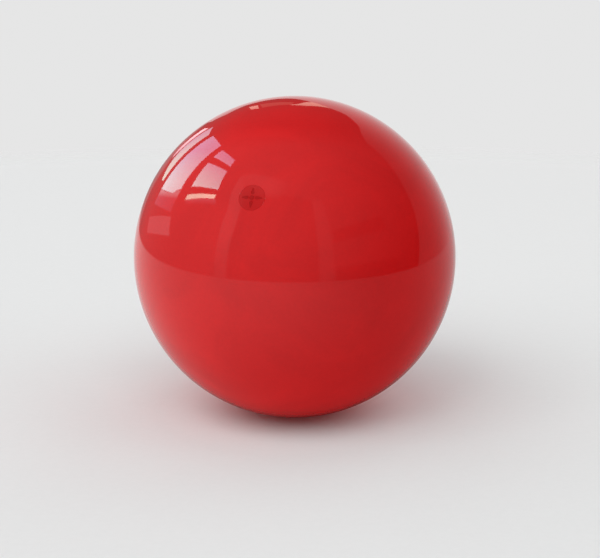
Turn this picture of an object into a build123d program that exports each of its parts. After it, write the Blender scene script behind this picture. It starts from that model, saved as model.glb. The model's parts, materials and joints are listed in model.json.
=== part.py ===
from build123d import *

import math
import os

# Cue ball: one cast resin ball with a round mark let into its surface.
#
# The frame's origin is the centre of the ball and +Z is up. The mark faces -Y, raised above the horizontal,
# and the plane X = 0 cuts both the ball and its mark into mirrored halves. The ball rests on its lowest
# point.
#
# The mark is made of real pieces. A flat-bottomed seat is bored into the ball and a resin plug is bonded
# into it. The plug carries a plain emblem, a dot with four teardrops around it, and each of those is a resin
# filling in its own pocket. Every outer face is ground to the ball's own sphere.

# Driving dimensions, in millimetres and degrees.
BALL_DIAMETER = 68.0
MARK_DIAMETER = 5.2
MARK_DEPTH = 2.4
MARK_ELEVATION = 31.0
PLUG_CHAMFER = 0.3
EMBLEM_DEPTH = 0.8
DOT_DIAMETER = 0.9
TEARDROP_WIDE_RADIUS = 0.32
TEARDROP_NARROW_RADIUS = 0.1
TEARDROP_WIDE_CENTRE = 1.0
TEARDROP_NARROW_CENTRE = 1.9

# Each teardrop's direction from the dot, anticlockwise from the mark's right-hand side.
TEARDROP_ANGLES = {"right": 0, "top": 90, "left": 180, "bottom": 270}

# Dimensions that follow from them.
ball_radius = BALL_DIAMETER / 2
elevation = math.radians(MARK_ELEVATION)
mark_direction = (0, -math.cos(elevation), math.sin(elevation))

# The mark's axis runs from the ball's centre out through the middle of the mark.
mark_axis = Axis((0, 0, 0), mark_direction)
mark_plane = Plane(origin=(0, 0, 0), x_dir=(1, 0, 0), z_dir=mark_direction)
seat_floor = mark_plane.offset(ball_radius - MARK_DEPTH)
pocket_floor = mark_plane.offset(ball_radius - EMBLEM_DEPTH)

# A teardrop's outline, pointing along X: the hull of a wide circle near the dot and a narrow one further out.
with BuildSketch() as teardrop:
    with Locations((TEARDROP_WIDE_CENTRE, 0)):
        Circle(TEARDROP_WIDE_RADIUS)
    with Locations((TEARDROP_NARROW_CENTRE, 0)):
        Circle(TEARDROP_NARROW_RADIUS)
    make_hull()

# The ball: a full sphere with its pole on the mark's axis, and the blind seat for the plug.
with BuildPart(mark_plane) as ball_body:
    Sphere(ball_radius)
    with BuildSketch(seat_floor):
        Circle(MARK_DIAMETER / 2)
    extrude(amount=2 * MARK_DEPTH, mode=Mode.SUBTRACT)

# The plug: its bottom edge is chamfered to clear the seat's corner, its top is ground to the ball's sphere,
# and the pockets for the emblem are cut into that top.
with BuildPart() as mark_disc:
    with BuildSketch(seat_floor):
        Circle(MARK_DIAMETER / 2)
    extrude(amount=2 * MARK_DEPTH)
    chamfer(mark_disc.edges().filter_by(GeomType.CIRCLE).sort_by(mark_axis)[0], PLUG_CHAMFER)
    Sphere(ball_radius, mode=Mode.INTERSECT)
    with BuildSketch(pocket_floor):
        Circle(DOT_DIAMETER / 2)
        for angle in TEARDROP_ANGLES.values():
            add(teardrop.sketch, rotation=angle)
    extrude(amount=2 * EMBLEM_DEPTH, mode=Mode.SUBTRACT)

# The emblem's middle: a round filling.
with BuildPart() as emblem_dot:
    with BuildSketch(pocket_floor):
        Circle(DOT_DIAMETER / 2)
    extrude(amount=2 * EMBLEM_DEPTH)
    Sphere(ball_radius, mode=Mode.INTERSECT)

pieces = {"ball_body": ball_body, "mark_disc": mark_disc, "emblem_dot": emblem_dot}

# The emblem's four arms: one filling each, alike but for the direction in which they point.
for side, angle in TEARDROP_ANGLES.items():
    with BuildPart() as emblem_teardrop:
        with BuildSketch(pocket_floor):
            add(teardrop.sketch, rotation=angle)
        extrude(amount=2 * EMBLEM_DEPTH)
        Sphere(ball_radius, mode=Mode.INTERSECT)
    pieces[f"emblem_teardrop_{side}"] = emblem_teardrop

os.makedirs("parts", exist_ok=True)
for name, piece in pieces.items():
    piece.part.label = name
    export_step(piece.part, f"parts/{name}.step")
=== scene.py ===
"""Cue ball on a pale table, lit by a window at its left.

Every length is in metres, in the frame of the CAD part: the origin is the ball's centre and +Z is up. The
polished ball and the pieces of its mark are built here as fine closed meshes, each in place of its CAD node,
because a mirror finish shows every facet of a coarser one.
"""

import json
import math

import bmesh
import bpy
from mathutils import Matrix, Vector
from mathutils.geometry import delaunay_2d_cdt


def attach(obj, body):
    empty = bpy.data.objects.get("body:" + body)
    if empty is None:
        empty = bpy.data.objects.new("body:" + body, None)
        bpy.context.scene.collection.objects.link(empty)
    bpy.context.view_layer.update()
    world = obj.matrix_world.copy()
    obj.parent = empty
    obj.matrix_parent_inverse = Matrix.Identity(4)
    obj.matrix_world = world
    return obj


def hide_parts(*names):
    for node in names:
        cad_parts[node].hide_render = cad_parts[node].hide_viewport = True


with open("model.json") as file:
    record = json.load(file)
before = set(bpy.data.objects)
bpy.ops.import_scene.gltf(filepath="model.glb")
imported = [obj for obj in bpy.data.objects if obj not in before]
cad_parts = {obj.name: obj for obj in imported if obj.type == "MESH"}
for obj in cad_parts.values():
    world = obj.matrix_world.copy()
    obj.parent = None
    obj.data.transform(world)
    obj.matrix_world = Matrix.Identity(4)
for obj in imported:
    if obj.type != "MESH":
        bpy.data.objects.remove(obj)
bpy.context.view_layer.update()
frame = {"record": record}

MM = 0.001

# The ball rests on its mount, so the mount's depth below the centre is the ball's radius.
CONTACT = Vector(frame["record"]["mounts"][0]["pos_m"])
BALL_RADIUS = -CONTACT.z
FLOOR_HEIGHT = CONTACT.z

# The mark, as in the CAD part.
MARK_RADIUS = 2.6 * MM
MARK_DEPTH = 2.4 * MM
MARK_ELEVATION = math.radians(31)
PLUG_CHAMFER = 0.3 * MM
EMBLEM_DEPTH = 0.8 * MM
DOT_RADIUS = 0.45 * MM
TEARDROP_WIDE_RADIUS = 0.32 * MM
TEARDROP_NARROW_RADIUS = 0.1 * MM
TEARDROP_WIDE_CENTRE = 1.0 * MM
TEARDROP_NARROW_CENTRE = 1.9 * MM
TEARDROP_ANGLES = {"right": 0, "top": 90, "left": 180, "bottom": 270}

# Polishing rounds the edge of each piece a little, which leaves a fine groove along every joint. Each filling
# of the emblem stands a hair clear of its pocket's wall.
RIM_ROUNDING = 0.05 * MM
FILLING_EASING = 0.025 * MM
FILLING_GAP = 0.01 * MM

# How finely the pieces are meshed.
BALL_STEPS_ROUND = 256
BALL_FIRST_STEP = math.radians(0.08)
BALL_LARGEST_STEP = math.radians(1.3)
BALL_STEP_GROWTH = 1.3
MARK_STEPS_ROUND = 128
MARK_GRID = 0.16 * MM
DOT_STEPS = 48
TEARDROP_WIDE_STEPS = 28
TEARDROP_NARROW_STEPS = 12
TEARDROP_SIDE_STEPS = 8
ROUNDING_STEPS = 4
GRID_CLEARANCE = 0.4
MERGE_DISTANCE = 1e-9
LEAST_AREA = (0.001 * MM) ** 2

# How the pieces are shaded: the angle past which an edge is hard, how near a corner lies to the ball's sphere
# to count as on it, and how closely its face must look outwards.
HARD_ANGLE = math.radians(35)
SPHERE_TOLERANCE = 0.0005 * MM
LOOKS_OUT = 0.8

# The mark's own axes: u to its right, v up over the ball, w outwards through its middle.
MARK_AXIS = Vector((0, -math.cos(MARK_ELEVATION), math.sin(MARK_ELEVATION)))
MARK_TO_ROW = Matrix((Vector((1, 0, 0)), MARK_AXIS.cross(Vector((1, 0, 0))), MARK_AXIS)).transposed()


# ---------------------------------------------------------------------------------------------- meshes


def sphere_height(distance):
    """How high above the ball's centre its surface lies, at this distance from the mark's axis."""
    return math.sqrt(BALL_RADIUS**2 - distance**2)


def finished(bm, name, material):
    """The bmesh as an object in the row's frame, shaded as the true surface.

    A corner that lies on the ball's sphere gets the sphere's own normal, so that what it mirrors is even.
    """
    bmesh.ops.recalc_face_normals(bm, faces=bm.faces)
    bm.transform(MARK_TO_ROW.to_4x4())
    mesh = bpy.data.meshes.new(name)
    bm.to_mesh(mesh)
    bm.free()
    mesh.materials.append(material)
    mesh.shade_smooth()
    mesh.set_sharp_from_angle(angle=HARD_ANGLE)
    normals = [Vector((0, 0, 0))] * len(mesh.loops)
    for face in mesh.polygons:
        for corner in face.loop_indices:
            place = mesh.vertices[mesh.loops[corner].vertex_index].co
            outward = place.normalized()
            on_sphere = abs(place.length - BALL_RADIUS) < SPHERE_TOLERANCE
            if on_sphere and face.normal.dot(outward) > LOOKS_OUT:
                normals[corner] = outward
    mesh.normals_split_custom_set(normals)
    piece = bpy.data.objects.new(name, mesh)
    bpy.context.scene.collection.objects.link(piece)
    return piece


def ring(bm, radius, height, steps):
    """A ring of vertices round the mark's axis."""
    turns = [2 * math.pi * i / steps for i in range(steps)]
    return [bm.verts.new((radius * math.cos(t), radius * math.sin(t), height)) for t in turns]


def join_rings(bm, first, second):
    """A band of four-sided faces between two rings of as many vertices."""
    for i in range(len(first)):
        after = (i + 1) % len(first)
        bm.faces.new((first[i], first[after], second[after], second[i]))


def close_ring(bm, edge_ring, height):
    """A fan of triangles from a ring to a point on the axis."""
    tip = bm.verts.new((0, 0, height))
    for i in range(len(edge_ring)):
        bm.faces.new((edge_ring[i], edge_ring[(i + 1) % len(edge_ring)], tip))


def rounding(wall_radius, inward):
    """Points (distance, height) of the rounded edge between a wall round the mark's axis and the sphere.

    inward is 1 where the piece lies inside the wall, as the plug does, and -1 where it lies outside.
    """
    centre_distance = wall_radius - inward * RIM_ROUNDING
    centre_height = math.sqrt((BALL_RADIUS - RIM_ROUNDING) ** 2 - centre_distance**2)
    wall_turn = math.radians(90) * inward
    sphere_turn = math.atan2(centre_distance, centre_height)
    points = []
    for i in range(ROUNDING_STEPS + 1):
        turn = wall_turn + (sphere_turn - wall_turn) * i / ROUNDING_STEPS
        distance = centre_distance + RIM_ROUNDING * math.sin(turn)
        points.append((distance, centre_height + RIM_ROUNDING * math.cos(turn)))
    return points


def ball_mesh(material):
    """The ball: the sphere, the rounded rim of the seat, the seat's wall and its flat floor."""
    bm = bmesh.new()
    seat_floor = BALL_RADIUS - MARK_DEPTH
    outline = [(MARK_RADIUS, seat_floor)] + rounding(MARK_RADIUS, -1)
    turn = math.atan2(*outline[-1])
    step = BALL_FIRST_STEP
    while turn + 1.5 * step < math.pi:
        turn += step
        outline.append((BALL_RADIUS * math.sin(turn), BALL_RADIUS * math.cos(turn)))
        step = min(step * BALL_STEP_GROWTH, BALL_LARGEST_STEP)
    rings = [ring(bm, distance, height, BALL_STEPS_ROUND) for distance, height in outline]
    for first, second in zip(rings, rings[1:]):
        join_rings(bm, first, second)
    close_ring(bm, rings[0], seat_floor)
    close_ring(bm, rings[-1], -BALL_RADIUS)
    return finished(bm, "ball_body_polished", material)


def circle(radius, steps):
    """Points (u, v) round the mark's middle."""
    turns = [2 * math.pi * i / steps for i in range(steps)]
    return [(radius * math.cos(t), radius * math.sin(t)) for t in turns]


def teardrop(angle, growth):
    """Points (u, v) of a teardrop's outline, grown outwards all round."""
    wide, narrow = TEARDROP_WIDE_RADIUS + growth, TEARDROP_NARROW_RADIUS + growth
    spread = math.acos((wide - narrow) / (TEARDROP_NARROW_CENTRE - TEARDROP_WIDE_CENTRE))
    points = []
    for i in range(TEARDROP_NARROW_STEPS + 1):
        turn = spread * (2 * i / TEARDROP_NARROW_STEPS - 1)
        points.append(Vector((TEARDROP_NARROW_CENTRE + narrow * math.cos(turn), narrow * math.sin(turn))))
    outer_end = points[-1]
    wide_arc = []
    for i in range(TEARDROP_WIDE_STEPS + 1):
        turn = spread + (2 * math.pi - 2 * spread) * i / TEARDROP_WIDE_STEPS
        wide_arc.append(Vector((TEARDROP_WIDE_CENTRE + wide * math.cos(turn), wide * math.sin(turn))))
    shares = [i / TEARDROP_SIDE_STEPS for i in range(1, TEARDROP_SIDE_STEPS)]
    points += [outer_end.lerp(wide_arc[0], share) for share in shares]
    points += wide_arc
    points += [wide_arc[-1].lerp(points[0], share) for share in shares]
    turned = Matrix.Rotation(math.radians(angle), 2)
    return [tuple(turned @ p) for p in points]


def inside(point, outline):
    """True if the point (u, v) lies within the closed outline."""
    u, v = point
    found = False
    for (u0, v0), (u1, v1) in zip(outline, outline[1:] + outline[:1]):
        if (v0 > v) != (v1 > v) and u < (u1 - u0) * (v - v0) / (v1 - v0) + u0:
            found = not found
    return found


def near(point, outline, reach):
    """True if a point of the outline lies within reach of this one."""
    return any(math.dist(point, p) < reach for p in outline)


def lay_over_sphere(bm, outer, holes, guides, drops, grid):
    """Covers outer, less the holes, with triangles laid on the ball's sphere.

    Outlines are lists of (u, v). Guides are outlines that the triangles must also follow. drops says how far
    below the sphere each outline lies, outer first, then the holes and the guides. A triangle whose corners
    are in line would lie doubled along a straight side, so it is left out. Returns the rings of vertices
    along outer and the holes.
    """
    outlines = [outer] + holes + guides
    points, edges, point_drops, starts = [], [], [], []
    for outline, drop in zip(outlines, drops):
        start = len(points)
        starts.append(start)
        points += outline
        point_drops += [drop] * len(outline)
        edges += [(start + i, start + (i + 1) % len(outline)) for i in range(len(outline))]
    count = int(max(math.hypot(*p) for p in outer) / grid) + 2
    for i in range(-count, count + 1):
        for j in range(-count, count + 1):
            spot = ((i + 0.5 * (j % 2)) * grid, j * grid * math.sqrt(3) / 2)
            within = inside(spot, outer) and not any(inside(spot, hole) for hole in holes)
            if within and not any(near(spot, outline, GRID_CLEARANCE * grid) for outline in outlines):
                points.append(spot)
                point_drops.append(0)
    spots = [Vector(p) for p in points]
    flat, _, triangles, sources, _, _ = delaunay_2d_cdt(spots, edges, [], 0, MERGE_DISTANCE)
    verts, made_from = [], {}
    for place, source in zip(flat, sources):
        drop = point_drops[source[0]]
        vert = bm.verts.new((place.x, place.y, sphere_height(place.length) - drop))
        verts.append(vert)
        for point in source:
            made_from[point] = vert
    for triangle in triangles:
        a, b, c = (flat[i] for i in triangle)
        middle = (a + b + c) / 3
        in_line = abs((b - a).cross(c - a)) < 2 * LEAST_AREA
        if not in_line and inside(middle, outer) and not any(inside(middle, hole) for hole in holes):
            bm.faces.new([verts[i] for i in triangle])
    loops = [outer] + holes
    return [[made_from[start + i] for i in range(len(loop))] for start, loop in zip(starts, loops)]


def sink(bm, edge_ring, height):
    """A wall from a ring down to a flat floor at this height."""
    lower = [bm.verts.new((v.co.x, v.co.y, height)) for v in edge_ring]
    join_rings(bm, edge_ring, lower)
    bm.faces.new(lower)


def emblem_outlines(growth):
    """The outlines of the dot and of the four teardrops, grown outwards all round."""
    return [circle(DOT_RADIUS + growth, DOT_STEPS)] + [teardrop(a, growth) for a in TEARDROP_ANGLES.values()]


def disc_mesh(material):
    """The plug: a face with five pockets, a rounded rim, the wall, the chamfer and a flat bottom."""
    bm = bmesh.new()
    edge = rounding(MARK_RADIUS, 1)
    pockets = emblem_outlines(0)
    beside = emblem_outlines(FILLING_EASING)
    drops = [0] + [FILLING_EASING] * len(pockets) + [0] * len(beside)
    rim = circle(edge[-1][0], MARK_STEPS_ROUND)
    rim_ring, *pocket_rings = lay_over_sphere(bm, rim, pockets, beside, drops, MARK_GRID)
    for pocket_ring in pocket_rings:
        sink(bm, pocket_ring, BALL_RADIUS - EMBLEM_DEPTH)
    bottom = BALL_RADIUS - MARK_DEPTH
    outline = edge[-2::-1] + [(MARK_RADIUS, bottom + PLUG_CHAMFER), (MARK_RADIUS - PLUG_CHAMFER, bottom)]
    rings = [rim_ring] + [ring(bm, distance, height, MARK_STEPS_ROUND) for distance, height in outline]
    for first, second in zip(rings, rings[1:]):
        join_rings(bm, first, second)
    bm.faces.new(rings[-1])
    return finished(bm, "mark_disc_polished", material)


def filling_mesh(name, outline, shoulder, material):
    """A filling of one pocket: an eased face on the sphere, a wall and a flat bottom."""
    bm = bmesh.new()
    (edge_ring,) = lay_over_sphere(bm, outline, [], [shoulder], [FILLING_EASING, 0], MARK_GRID / 2)
    sink(bm, edge_ring, BALL_RADIUS - EMBLEM_DEPTH)
    return finished(bm, name, material)


# ------------------------------------------------------------------------------------------- materials


def nodes_of(tree):
    """A function that adds a node to the tree: its type, each input's value or source, its properties."""

    def add(kind, inputs=None, **properties):
        node = tree.nodes.new(kind)
        for key, value in properties.items():
            setattr(node, key, value)
        for key, value in (inputs or {}).items():
            if isinstance(value, bpy.types.NodeSocket):
                tree.links.new(value, node.inputs[key])
            else:
                node.inputs[key].default_value = value
        return node

    return add


def blend_colours(add, share, first, second):
    """The colour between first and second at this share."""
    return add("ShaderNodeMix", {0: share, 6: first, 7: second}, data_type="RGBA").outputs[2]


def span(add, value, source_range, result_range):
    """The value carried from one range to another, and held at its ends."""
    low, high = source_range
    least, most = result_range
    settings = {"Value": value, "From Min": low, "From Max": high, "To Min": least, "To Max": most}
    return add("ShaderNodeMapRange", settings).outputs["Result"]


def arithmetic(add, operation, first, second):
    """The sum, product or other two-number result."""
    return add("ShaderNodeMath", {0: first, 1: second}, operation=operation).outputs["Value"]


def hairlines(add, place, tilt, scale):
    """Fine straight buffing marks in one direction: 1 on a line and 0 between the lines."""
    turned = add("ShaderNodeMapping", {"Vector": place, "Rotation": tilt, "Scale": scale})
    streaks = add("ShaderNodeTexNoise", {"Vector": turned.outputs["Vector"], "Scale": 1, "Detail": 2})
    return span(add, streaks.outputs["Fac"], (0.66, 0.74), (0, 1))


def resin(name, dark, light, ior, polish, wave):
    """Polished cast resin.

    Its pigment varies between the colours dark and light, in the slow folds that poured resin sets in and a
    fine grain. Its roughness varies between the two values of polish, in soft patches of haze and along the
    hairlines that a buffing wheel leaves. Its surface waves by a few times wave.
    """
    material = bpy.data.materials.new(name)
    material.use_nodes = True
    add = nodes_of(material.node_tree)
    place = add("ShaderNodeTexCoord").outputs["Object"]

    folds = add("ShaderNodeTexNoise", {"Vector": place, "Scale": 55, "Detail": 5, "Distortion": 1.6})
    grain = add("ShaderNodeTexNoise", {"Vector": place, "Scale": 1500, "Detail": 3, "Roughness": 0.6})
    uneven = arithmetic(add, "MULTIPLY", grain.outputs["Fac"], 0.35)
    tone = span(add, arithmetic(add, "ADD", uneven, folds.outputs["Fac"]), (0.5, 0.85), (0, 1))
    colour = blend_colours(add, tone, dark, light)

    patches = add("ShaderNodeTexNoise", {"Vector": place, "Scale": 38, "Detail": 4, "Distortion": 0.6})
    haze = span(add, patches.outputs["Fac"], (0.35, 0.7), (0, 0.6))
    lines = arithmetic(
        add,
        "MAXIMUM",
        hairlines(add, place, (0.3, 0.9, 0.2), (3200, 90, 90)),
        hairlines(add, place, (1.1, 0.2, 0.8), (90, 3800, 120)),
    )
    worn = arithmetic(add, "MAXIMUM", haze, arithmetic(add, "MULTIPLY", lines, 0.9))
    roughness = span(add, worn, (0, 1), polish)

    waves = add("ShaderNodeTexNoise", {"Vector": place, "Scale": 160, "Detail": 1})
    bump = add("ShaderNodeBump", {"Height": waves.outputs["Fac"], "Strength": 1.0, "Distance": wave})

    shader = material.node_tree.nodes["Principled BSDF"]
    shader.inputs["IOR"].default_value = ior
    sources = {"Base Color": colour, "Roughness": roughness, "Normal": bump.outputs["Normal"]}
    for socket, source in sources.items():
        material.node_tree.links.new(source, shader.inputs[socket])
    return material


# ------------------------------------------------------------------------------------------- the object

BALL_RED = ((0.60, 0.0035, 0.0045, 1), (0.68, 0.0045, 0.0055, 1))
MARK_RED = ((0.49, 0.0020, 0.0025, 1), (0.55, 0.0025, 0.0030, 1))
EMBLEM_RED = ((0.38, 0.0010, 0.0013, 1), (0.43, 0.0013, 0.0017, 1))

ball_resin = resin("ball_resin", *BALL_RED, ior=1.5, polish=(0.035, 0.085), wave=0.0015 * MM)
mark_resin = resin("mark_resin", *MARK_RED, ior=1.41, polish=(0.12, 0.22), wave=0.0015 * MM)
emblem_resin = resin("emblem_resin", *EMBLEM_RED, ior=1.35, polish=(0.12, 0.22), wave=0.0015 * MM)

polished = []


def stand_for(piece, node):
    """The piece rides on the part's one body in place of a CAD node."""
    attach(piece, "root")
    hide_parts(node)
    polished.append(piece)


stand_for(ball_mesh(ball_resin), "ball_body")
stand_for(disc_mesh(mark_resin), "mark_disc")
fillings = ["emblem_dot"] + [f"emblem_teardrop_{side}" for side in TEARDROP_ANGLES]
edges = emblem_outlines(-FILLING_GAP)
shoulders = emblem_outlines(-FILLING_GAP - FILLING_EASING)
for node, edge, shoulder in zip(fillings, edges, shoulders):
    stand_for(filling_mesh(node + "_polished", edge, shoulder, emblem_resin), node)


# -------------------------------------------------------------------------------------------- the camera

CAMERA_AZIMUTH = 16.3
CAMERA_ELEVATION = 12.0
CAMERA_DISTANCE = 301.2 * MM
AIM_RIGHT = 1.1 * MM
AIM_DOWN = 4.7 * MM
LENS = 85
SENSOR = 36


def toward(azimuth, elevation):
    """The direction at these angles in degrees.

    The azimuth is counted from the camera's, positive to its right.
    """
    a, e = math.radians(azimuth + CAMERA_AZIMUTH), math.radians(elevation)
    return Vector((math.sin(a) * math.cos(e), -math.cos(a) * math.cos(e), math.sin(e)))


camera = bpy.data.objects.new("camera", bpy.data.cameras.new("camera"))
bpy.context.scene.collection.objects.link(camera)
bpy.context.scene.camera = camera
camera.data.lens = LENS
camera.data.sensor_width = SENSOR
camera.data.clip_start = 10 * MM
camera.location = toward(0, CAMERA_ELEVATION) * CAMERA_DISTANCE
camera_right = toward(90, 0)
camera_up = toward(0, CAMERA_ELEVATION + 90)
aim = camera_right * AIM_RIGHT - camera_up * AIM_DOWN
camera.rotation_euler = (aim - camera.location).to_track_quat("-Z", "Y").to_euler()


# ------------------------------------------------------------------------------------ the table and room

PALE = 0.79
FLOOR_ALBEDO = 0.796
FLOOR_SPECKLE = 0.006
FLOOR_FADE = (0.39, 0.44)
FLOOR_EXTENT = 0.5
FLOOR_STEPS = 96
# Painted light on the table close to the ball, which weakens the ball's shadow there, and painted shade far
# from it, as factors on its albedo over distance from the ball.
NEAR_PAINTED_LIGHT = ((10 * MM, 30 * MM), (1.1, 0.99))
FAR_PAINTED_SHADE = ((150 * MM, 350 * MM), (1, 0.985))
# How far the table's colour loses red near the ball: a painted take-out of the red light that the ball throws
# on it.
RED_LIGHT_TAKEOUT_REACH = 6.3 * MM
RED_LIGHT_TAKEOUT_FALL = 1.45
ROOM_DISTANCE = 3.0
VEIL_DISTANCE = 2.8
ROOM_BRIGHT_SIDE = toward(-50, 31)
ROOM_LEVELS = (0.01, 0.60)
ROOM_FALL = 1.35
ROOM_DIM_SIDE = toward(180, 45)
ROOM_DIM = 0.6
ROOM_DIM_REACH = (0.88, 0.97)
FILL = 0.42

ALL_RAYS = {"camera", "diffuse", "glossy", "transmission", "volume_scatter", "shadow"}


def grey(level):
    """The colour with this level in each channel."""
    return (level, level, level, 1)


def new_stage(name, corners, material, seen_by):
    """A flat piece of the stage with one face, seen only by these kinds of ray."""
    mesh = bpy.data.meshes.new(name)
    mesh.from_pydata([tuple(c) for c in corners], [], [list(range(len(corners)))])
    mesh.materials.append(material)
    piece = bpy.data.objects.new(name, mesh)
    bpy.context.scene.collection.objects.link(piece)
    for kind in ALL_RAYS - seen_by:
        setattr(piece, "visible_" + kind, False)
    return piece


def bare_material(name):
    """A material with only an output, with what adds nodes to it and what connects its surface."""
    material = bpy.data.materials.new(name)
    material.use_nodes = True
    tree = material.node_tree
    tree.nodes.clear()
    add = nodes_of(tree)
    output = add("ShaderNodeOutputMaterial")
    return material, add, lambda shader: tree.links.new(shader.outputs[0], output.inputs["Surface"])


def vector_math(add, operation, first, second=(0, 0, 0)):
    """The node of this operation on two vectors."""
    return add("ShaderNodeVectorMath", {0: first, 1: second}, operation=operation)


def over_table(add):
    """The place as seen from above, with no height."""
    place = add("ShaderNodeTexCoord").outputs["Object"]
    return vector_math(add, "MULTIPLY", place, (1, 1, 0)).outputs["Vector"]


def turn_share(add, outward, axis):
    """From 0 to 1 as the direction turns from against the axis to along it."""
    unit = vector_math(add, "NORMALIZE", outward).outputs["Vector"]
    return span(add, vector_math(add, "DOT_PRODUCT", unit, axis).outputs["Value"], (-1, 1), (0, 1))


def glow(name, low, high=None, axis=(0, 0, 1), reach=(0, 1), rise=1, clear=0):
    """A light of one colour, or one that turns from low to high.

    It turns as turn_share goes over reach = (start, end), slowly at first where rise is over 1. clear is the
    share that shows of what lies behind it.
    """
    material, add, show = bare_material(name)
    place = add("ShaderNodeTexCoord").outputs["Object"]
    share = arithmetic(add, "POWER", span(add, turn_share(add, place, axis), reach, (0, 1)), rise)
    light = add("ShaderNodeEmission", {"Color": blend_colours(add, share, low, high or low)})
    behind = add("ShaderNodeBsdfTransparent", {"Color": grey(clear)})
    show(add("ShaderNodeAddShader", {0: light.outputs[0], 1: behind.outputs[0]}))
    return material


def round_corners(height):
    """The corners of the round table, at this height."""
    turns = [2 * math.pi * i / FLOOR_STEPS for i in range(FLOOR_STEPS)]
    return [(FLOOR_EXTENT * math.cos(t), FLOOR_EXTENT * math.sin(t), height) for t in turns]


def table_top():
    """Pale matt table top, whose edge fades into the room.

    Its colour has painted light close to the ball, which weakens the ball's shadow on it, and painted shade
    far away. Close to the ball its colour also has less red, a painted take-out of the red light that the
    ball throws on it.
    """
    material, add, show = bare_material("table_top")
    place = add("ShaderNodeTexCoord").outputs["Object"]
    speckle = add("ShaderNodeTexNoise", {"Vector": place, "Scale": 900, "Detail": 4})
    albedos = (FLOOR_ALBEDO - FLOOR_SPECKLE, FLOOR_ALBEDO + FLOOR_SPECKLE)
    speckled = span(add, speckle.outputs["Fac"], (0.3, 0.7), albedos)
    distance = vector_math(add, "LENGTH", over_table(add)).outputs["Value"]
    # Painted light close to the ball and painted shade far from it.
    painted_light_share = arithmetic(add, "MULTIPLY", span(add, distance, *NEAR_PAINTED_LIGHT), span(add, distance, *FAR_PAINTED_SHADE))
    level = arithmetic(add, "MULTIPLY", speckled, painted_light_share)
    # Less red close to the ball: a painted take-out of the ball's red light on the table.
    red_light_takeout = arithmetic(add, "POWER", arithmetic(add, "DIVIDE", RED_LIGHT_TAKEOUT_REACH, distance), RED_LIGHT_TAKEOUT_FALL)
    red = arithmetic(add, "DIVIDE", level, arithmetic(add, "ADD", 1, red_light_takeout))
    colour = add("ShaderNodeCombineColor", {"Red": red, "Green": level, "Blue": level}).outputs["Color"]
    alpha = span(add, distance, FLOOR_FADE, (1, 0))
    settings = {"Base Color": colour, "Roughness": 0.9, "Specular IOR Level": 0.1, "Alpha": alpha}
    show(add("ShaderNodeBsdfPrincipled", settings))
    return material


# The table's painted reflection: its level, how much dimmer it is away from the window, and its painted shade
# close to the ball.
MIRRORED_LEVEL = 0.81
MIRRORED_DIM = 0.54
MIRRORED_DIM_SIDE = toward(75, 0)
MIRRORED_DIM_FALL = 2.05
SHADE_HALF_WAY = 36 * MM
SHADE_FALL = 2.3


def mirrored_table():
    """A glowing disc that only the ball mirrors, a painted reflection of the table: dimmer away from the
    window, with painted shade where the ball's own shade falls.

    Its edge fades into the room.
    """
    material, add, show = bare_material("mirrored_table")
    away = arithmetic(add, "POWER", turn_share(add, over_table(add), MIRRORED_DIM_SIDE), MIRRORED_DIM_FALL)
    level = span(add, away, (0, 1), (MIRRORED_LEVEL, MIRRORED_LEVEL - MIRRORED_DIM))
    distance = vector_math(add, "LENGTH", over_table(add)).outputs["Value"]
    shade = arithmetic(add, "POWER", arithmetic(add, "DIVIDE", SHADE_HALF_WAY, distance), SHADE_FALL)
    light = arithmetic(add, "DIVIDE", level, arithmetic(add, "ADD", 1, shade))
    beyond = span(add, distance, FLOOR_FADE, (0, 1))
    table = add("ShaderNodeEmission", {"Color": light}).outputs[0]
    room = add("ShaderNodeBsdfTransparent").outputs[0]
    show(add("ShaderNodeMixShader", {0: beyond, 1: table, 2: room}))
    return material


floor = new_stage("table_top", round_corners(FLOOR_HEIGHT), table_top(), ALL_RAYS - {"glossy"})
# A glowing disc that only the ball mirrors: the table's painted reflection.
new_stage("mirrored_table", round_corners(FLOOR_HEIGHT), mirrored_table(), {"glossy"})

# The window stands at the left of the camera and leans over the ball. Its panes are placed on its plane by
# (across, up) from the point nearest to the ball, both as shares of the plane's distance.
WINDOW_AZIMUTH = -66.8
WINDOW_LEAN = 25.9
window_normal = toward(WINDOW_AZIMUTH, WINDOW_LEAN)
window_across = toward(WINDOW_AZIMUTH + 90, 0)
window_up = toward(WINDOW_AZIMUTH, WINDOW_LEAN + 90)
SKY_FALL = 0.55


def sky_light(name, low, high, reach):
    """The sky in the window, from one colour low down to another high up.

    It is dimmer the further it is from the ball.
    """
    material, add, show = bare_material(name)
    place = add("ShaderNodeTexCoord").outputs["Object"]
    height = vector_math(add, "DOT_PRODUCT", place, window_up / ROOM_DISTANCE).outputs["Value"]
    colour = blend_colours(add, span(add, height, reach, (0, 1)), low, high)
    nearness = arithmetic(add, "DIVIDE", ROOM_DISTANCE, vector_math(add, "LENGTH", place).outputs["Value"])
    strength = arithmetic(add, "POWER", nearness, SKY_FALL)
    show(add("ShaderNodeEmission", {"Color": colour, "Strength": strength}))
    return material


def pane(name, corners, material):
    """A pane that shows only in the ball, with its corners on the window's plane."""
    places = [ROOM_DISTANCE * (window_normal + window_across * u + window_up * v) for u, v in corners]
    new_stage("pane_" + name, places, material, {"glossy"})


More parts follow.
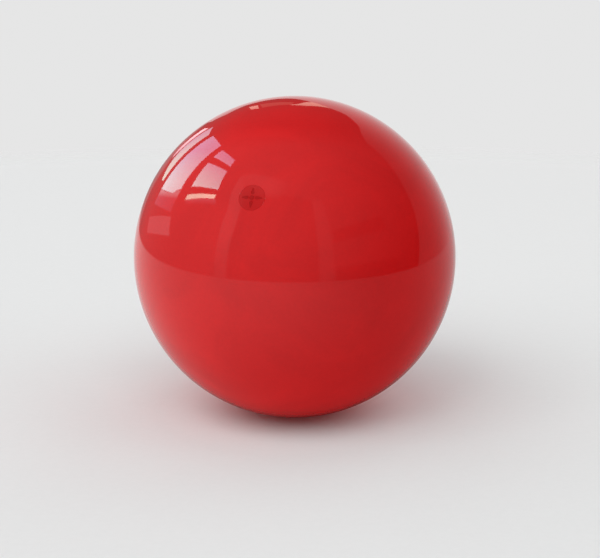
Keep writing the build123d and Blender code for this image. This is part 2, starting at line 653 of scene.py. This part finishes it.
# The window's panes: two in its near part, one in the middle and one in its far part.
sky = sky_light("sky", (3.2, 7.2, 7.5, 1), (2.4, 3.7, 5.2, 1), (0.2, 0.72))
near_sky = sky_light("near_sky", (3.4, 8.2, 8.2, 1), (2.4, 3.7, 5.2, 1), (0.25, 0.62))
far_sky = sky_light("far_sky", (3.3, 6.8, 6.0, 1), (2.7, 4.2, 5.1, 1), (0.3, 1.5))
low_near = [(-0.647, 0.219), (-0.174, 0.312), (-0.292, 0.55), (-0.758, 0.535)]
high_near = [(-0.798, 0.638), (-0.318, 0.624), (-0.382, 0.736), (-0.83, 0.787)]
low_middle = [(-2.28, 0.08), (-1.6, 0.08), (-1.1, 0.085), (-1.02, 0.125), (-0.887, 0.155)]
low_middle += [(-1.032, 0.865), (-2.15, 1.135)]
far_pane = [(-2.95, 0.205), (-2.8, 1.25), (-5.6, 2.2), (-7.6, 1.3), (-6.6, 0.9), (-5.0, 0.5), (-3.65, 0.225)]
pane("low_near", low_near, near_sky)
pane("high_near", high_near, sky)
pane("low_middle", low_middle, sky)
pane("far", far_pane, far_sky)

# Under the panes: the bright sill with a faint glow below it, a ledge, and a dim band lower down.
sill = glow("sill", (4.2, 7.6, 6.1, 1), (7.8, 9.8, 7.9, 1), window_across, (0.24, 0.43))
sill_slope = (window_up - 0.3 * window_across).normalized()
under_sill = glow("under_sill", grey(0), (0.6, 0.75, 1.0, 1), sill_slope, (0.58, 0.615), 1.5, clear=1)
ledge_slope = (window_up - 0.171 * window_across).normalized()
ledge = glow("ledge", (0.4, 0.25, 0.36, 1), (0.9, 1.5, 1.6, 1), ledge_slope, (0.572, 0.589), clear=1)
below = glow("below", (0.6, 0.62, 0.66, 1), (0.4, 0.2, 0.22, 1), -window_across, (0.8, 0.96), clear=1)
ledge_edge = [(-2.4, -0.13), (-0.86, -0.09), (-0.86, 0.145), (-1.03, 0.115), (-1.12, 0.077)]
ledge_edge += [(-1.6, 0.072), (-2.28, 0.072)]
pane("sill", [(-0.6, 0.077), (-0.145, 0.212), (-0.15, 0.257), (-0.62, 0.13)], sill)
pane("under_sill", [(-0.53, 0.015), (-0.06, 0.165), (-0.12, 0.22), (-0.595, 0.08)], under_sill)
pane("ledge", ledge_edge, ledge)
pane("below", [(-2.4, -0.53), (-0.71, -0.31), (-0.8, -0.13), (-2.58, -0.33)], below)


def card(name, angles, material, distance=ROOM_DISTANCE):
    """A card of the room that shows only in the ball, where it paints a reflection, with its corners at these
    angles from the camera's.
    """
    new_stage(name, [distance * toward(*pair) for pair in angles], material, {"glossy"})


# A pale backdrop stands behind the ball, to the right.
backdrop_edge = [(94, -6), (99.5, 8), (110, 28), (122, 40), (133, 46.5), (143, 44), (152, 38.5), (163, 32.5)]
backdrop_edge += [(171, 30), (176, 25), (180, 17.5), (183, 14), (188, 12.5), (193, 15.5), (194, 11)]
backdrop_edge += [(191, 5), (191, -6), (145, -6)]
card("backdrop", backdrop_edge, glow("backdrop", grey(0.2), grey(0.84), toward(180, 0), (0.6, 1), 2.5))

# Behind the ball, to the left, the far end of the table is dimmer.
table_end = [(190, -8), (190, 6), (198, 8), (206, 7), (206, 1), (208, -3), (210, -8)]
card("table_end", table_end, glow("table_end", grey(0.33)))

# Small pale things stand behind the ball too.
cream = glow("cream", (1.4, 1.15, 0.95, 1))
faint_cream = glow("faint_cream", (0.25, 0.16, 0.12, 1), clear=1)
cream_right = [(166, 26), (173, 23), (177, 26), (179, 31.5), (181.5, 33), (181.3, 33.8)]
cream_right += [(176, 34.5), (172.5, 32), (166, 29.5)]
card("cream_right", cream_right, cream)
card("cream_left", [(188.7, 23), (190.2, 21), (192.3, 28), (191, 31)], cream)
card("cream_between", [(180, 28), (188, 22.5), (190, 31), (181.5, 33)], faint_cream)
glint = [(202, 20.6), (199, 15.3), (199.5, 12), (200.2, 8.5), (201.5, 7)]
glint += [(204.5, 8.5), (204.5, 13), (203.2, 16.5)]
card("glint", glint, glow("glint", (1.6, 1.3, 1.45, 1), (2.6, 2.3, 2.5, 1), reach=(0.57, 0.63)))

# In front of the ball is a darker part of the room, between paler glowing edges, and a shelf at its right.
# The darker part and the shelf are painted shade: dark sheets that only the ball mirrors, which dim the room
# behind them.
left_edge_glow = glow("left_edge_glow", grey(0.12), grey(0.26), toward(-52, 40), (0.9, 0.98), clear=1)
top_edge_glow = glow("top_edge_glow", grey(0), grey(0.17), toward(-48, 56), (0.965, 0.99), clear=1)
right_edge_glow = glow("right_edge_glow", grey(0.07), clear=1)
# Dark sheets that only the ball mirrors: painted shade over the room behind them.
painted_front_shade = glow("painted_front_shade", grey(0), clear=0.85)
shelf_shade = glow("shelf_shade", grey(0), clear=0.78)
left_edge = [(-56, -5), (-48, -5), (-47, 30), (-49, 41), (-54, 49), (-60, 54), (-72, 57)]
left_edge += [(-66, 47), (-59, 36)]
top_edge = [(-72, 57), (-60, 54), (-44, 52), (-28, 50.5), (-4, 50), (-4, 63), (-40, 65), (-64, 62)]
card("left_edge", left_edge, left_edge_glow)
card("top_edge", top_edge, top_edge_glow)
card("right_edge", [(17, -5), (27, -5), (27, 50), (17, 50)], right_edge_glow)
card("painted_front_shade", [(-47, -5), (16, -5), (16, 50), (-44, 50), (-48, 41), (-46, 30)], painted_front_shade, VEIL_DISTANCE)
card("shelf_top", [(29, 20), (50, 21), (72, 20), (72, 28), (50, 29), (29, 28)], shelf_shade, VEIL_DISTANCE)
card("shelf_foot", [(28, -5), (50, -5), (75, -5), (75, 3), (50, 4), (28, 3)], shelf_shade, VEIL_DISTANCE)


BALL_LIGHT_SPREAD = 30
TABLE_LIGHT_SPREAD = 21
TABLE_LIGHT_ELEVATION = 44


def collection_of(name, objects):
    """A collection of these objects, to which lights are linked."""
    collection = bpy.data.collections.new(name)
    for thing in objects:
        collection.objects.link(thing)
    return collection


ball_only = collection_of("ball_only", polished)
table_only = collection_of("table_only", [floor])


def soft_light(name, azimuth, elevation, level, spread, lit):
    """A wide soft light that the ball doesn't mirror. It lights one collection, and only the ball blocks it.

    level is how bright it makes a white matt face that is turned towards it, and spread is its angular radius
    in degrees.
    """
    data = bpy.data.lights.new(name, "SUN")
    data.angle = math.radians(2 * spread)
    data.energy = math.pi * level
    light = bpy.data.objects.new(name, data)
    bpy.context.scene.collection.objects.link(light)
    light.rotation_euler = toward(azimuth, elevation).to_track_quat("Z", "Y").to_euler()
    light.visible_glossy = False
    light.light_linking.receiver_collection = lit
    light.light_linking.blocker_collection = ball_only


# The ball's lights. The last two stand for the light that the pale table sends up to it.
soft_light("window_light", -60, 10, 0.345, BALL_LIGHT_SPREAD, ball_only)
soft_light("ceiling_light", -60, 85, 0.44, BALL_LIGHT_SPREAD, ball_only)
soft_light("table_bounce_left", -150, -35, 0.31, BALL_LIGHT_SPREAD, ball_only)
soft_light("table_bounce_right", 150, -35, 0.34, BALL_LIGHT_SPREAD, ball_only)

# A ring of soft lights round the table, each azimuth with its level: the strongest stand in front.
TABLE_LIGHTS = {-150: 0.04, -85: 0.075, -40: 0.275, 0: 0.285, 62: 0.105, 135: 0.065}
for azimuth, level in TABLE_LIGHTS.items():
    name = f"table_light_{azimuth}"
    soft_light(name, azimuth, TABLE_LIGHT_ELEVATION, level, TABLE_LIGHT_SPREAD, table_only)

# The room round the table: pale where the camera sees it, dimmer away from the window and behind the ball in
# what the ball mirrors, and an even soft fill on what it lights.
world = bpy.data.worlds.new("room")
bpy.context.scene.world = world
world.use_nodes = True
world.node_tree.nodes.clear()
add = nodes_of(world.node_tree)
ray = add("ShaderNodeLightPath")
outward = add("ShaderNodeTexCoord").outputs["Generated"]
fall = arithmetic(add, "POWER", turn_share(add, outward, ROOM_BRIGHT_SIDE), ROOM_FALL)
behind_ball = span(add, turn_share(add, outward, ROOM_DIM_SIDE), ROOM_DIM_REACH, (1, ROOM_DIM))
mirrored = arithmetic(add, "MULTIPLY", span(add, fall, (0, 1), ROOM_LEVELS), behind_ball)
lit = blend_colours(add, ray.outputs["Is Glossy Ray"], grey(FILL), mirrored)
shown = blend_colours(add, ray.outputs["Is Camera Ray"], lit, grey(PALE))
background = add("ShaderNodeBackground", {"Color": shown})
world.node_tree.links.new(background.outputs[0], add("ShaderNodeOutputWorld").inputs["Surface"])

bpy.context.scene.view_settings.view_transform = "Standard"
